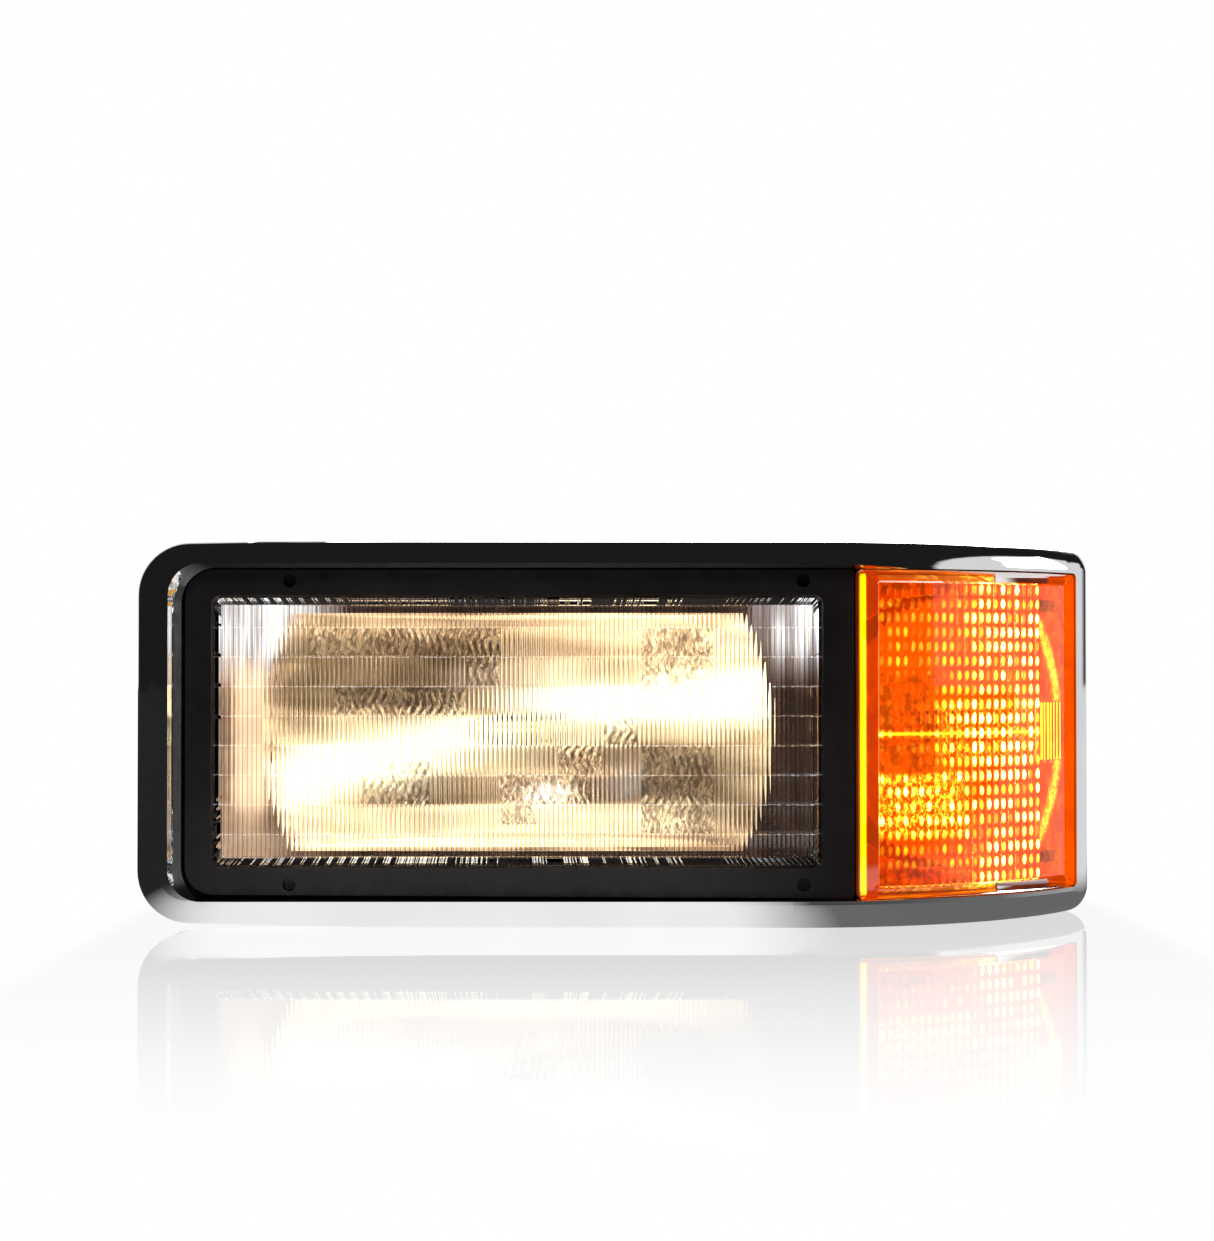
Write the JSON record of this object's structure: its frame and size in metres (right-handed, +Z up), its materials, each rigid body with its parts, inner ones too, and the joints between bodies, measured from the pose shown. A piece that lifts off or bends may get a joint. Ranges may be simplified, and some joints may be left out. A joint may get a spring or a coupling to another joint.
{
  "type": "vehicle headlight assembly",
  "caption": "Truck headlight: chrome bezel, fluted clear lens in a black frame, wrap-around amber turn signal, and a reflector aimed by knobs at the back.",
  "frame": {"origin": "middle of the bounding box's base", "axes": "+X to the right seen from the front, +Y towards the back of the lamp, +Z up"},
  "size_m": [0.634, 0.216, 0.25],
  "materials": {
    "chrome": "bright plated plastic, mirror finish",
    "black_trim": "satin black moulded plastic",
    "black_housing": "fine-grained black plastic",
    "clear_lens": "clear moulded lens with flutes",
    "amber_lens": "amber moulded lens with pillow optics",
    "mirror": "vacuum-metallised plastic",
    "zinc_steel": "zinc-plated steel",
    "black_screw": "black oxide steel",
    "rubber": "soft black rubber",
    "brass": "turned brass",
    "white_plastic": "natural acetal",
    "knob_plastic": "natural nylon",
    "bulb_glass": "clear bulb glass",
    "tungsten": "tungsten and nickel wire",
    "bulb_plastic": "heat-resistant grey plastic",
    "copper_alloy": "tin-plated contacts"
  },
  "bodies": {
    "housing": {"chrome_bezel": "chrome", "bezel_screws": "zinc_steel", "carrier_plate": "black_housing", "housing_screws": "zinc_steel", "turn_housing_screws": "zinc_steel", "trim_frame": "black_trim", "trim_frame_screws": "black_screw", "headlamp_lens": "clear_lens", "lens_gasket": "rubber", "inner_bezel": "mirror", "lamp_housing": "black_housing", "mounting_studs": "zinc_steel", "mounting_inserts": "brass", "vent_tube": "rubber", "boot_retainer": "black_housing", "boot_retainer_screws": "zinc_steel", "vertical_adjuster_bracket": "black_housing", "horizontal_adjuster_bracket": "black_housing", "adjuster_bracket_screws": "zinc_steel", "turn_lens": "amber_lens", "turn_lens_gasket": "rubber", "turn_housing": "black_housing", "turn_reflector": "mirror", "turn_reflector_screws": "black_screw"},
    "aim_pivot": {"pivot_ball_stud": "zinc_steel", "bulb_boot": "rubber"},
    "aimed_reflector": {"reflector": "mirror", "pivot_socket": "white_plastic", "vertical_socket": "white_plastic", "horizontal_socket": "white_plastic", "bulb_glass": "bulb_glass", "bulb_filaments": "tungsten", "bulb_base": "bulb_plastic", "bulb_terminals": "copper_alloy", "bulb_seal_ring": "rubber"},
    "lock_ring": {"bulb_lock_ring": "white_plastic"},
    "vertical_rod": {"vertical_rod": "zinc_steel"},
    "vertical_knob": {"vertical_knob": "knob_plastic"},
    "horizontal_rod": {"horizontal_rod": "zinc_steel"},
    "horizontal_knob": {"horizontal_knob": "knob_plastic"},
    "turn_socket": {"turn_socket": "bulb_plastic", "turn_socket_gasket": "rubber", "turn_bulb_base": "brass", "turn_bulb_glass": "bulb_glass", "turn_bulb_filaments": "tungsten", "turn_socket_terminals": "copper_alloy"}
  },
  "joints": [
    {"name": "aim_yaw", "type": "hinge", "parent": "housing", "child": "aim_pivot", "pos_m": [-0.072, -0.013, 0.034], "axis": [0, 0, 1], "range_deg": [-2.6, 2.6]},
    {"name": "aim_pitch", "type": "hinge", "parent": "aim_pivot", "child": "aimed_reflector", "pos_m": [-0.072, -0.013, 0.034], "axis": [1, 0, 0], "range_deg": [-3.11, 3.11], "deforming": ["bulb_boot"]},
    {"name": "vertical_knob_turn", "type": "hinge", "parent": "housing", "child": "vertical_knob", "pos_m": [-0.072, 0.065, 0.218], "axis": [0, 1, 0], "range_deg": [-1812, 1812]},
    {"name": "vertical_rod_slide", "type": "slide", "parent": "housing", "child": "vertical_rod", "axis": [0, 1, 0], "range_m": [-0.0101, 0.0101]},
    {"name": "horizontal_knob_turn", "type": "hinge", "parent": "housing", "child": "horizontal_knob", "pos_m": [0.038, 0.065, 0.034], "axis": [0, 1, 0], "range_deg": [-912, 912]},
    {"name": "horizontal_rod_slide", "type": "slide", "parent": "housing", "child": "horizontal_rod", "axis": [0, 1, 0], "range_m": [-0.0051, 0.0051]},
    {"name": "lock_ring_turn", "type": "hinge", "parent": "aimed_reflector", "child": "lock_ring", "pos_m": [-0.072, 0.076, 0.126], "axis": [0, 1, 0], "range_deg": [0, 25]},
    {"name": "turn_socket_twist", "type": "hinge", "parent": "housing", "child": "turn_socket", "pos_m": [0.222, 0.034, 0.126], "axis": [0, 1, 0], "range_deg": [0, 30]}
  ],
  "couplings": [
    {"joint": "vertical_knob_turn", "follows": "aim_pitch", "ratio": -578.05},
    {"joint": "vertical_rod_slide", "follows": "aim_pitch", "m_per_rad": -0.184},
    {"joint": "horizontal_knob_turn", "follows": "aim_yaw", "ratio": 345.58},
    {"joint": "horizontal_rod_slide", "follows": "aim_yaw", "m_per_rad": 0.11}
  ]
}
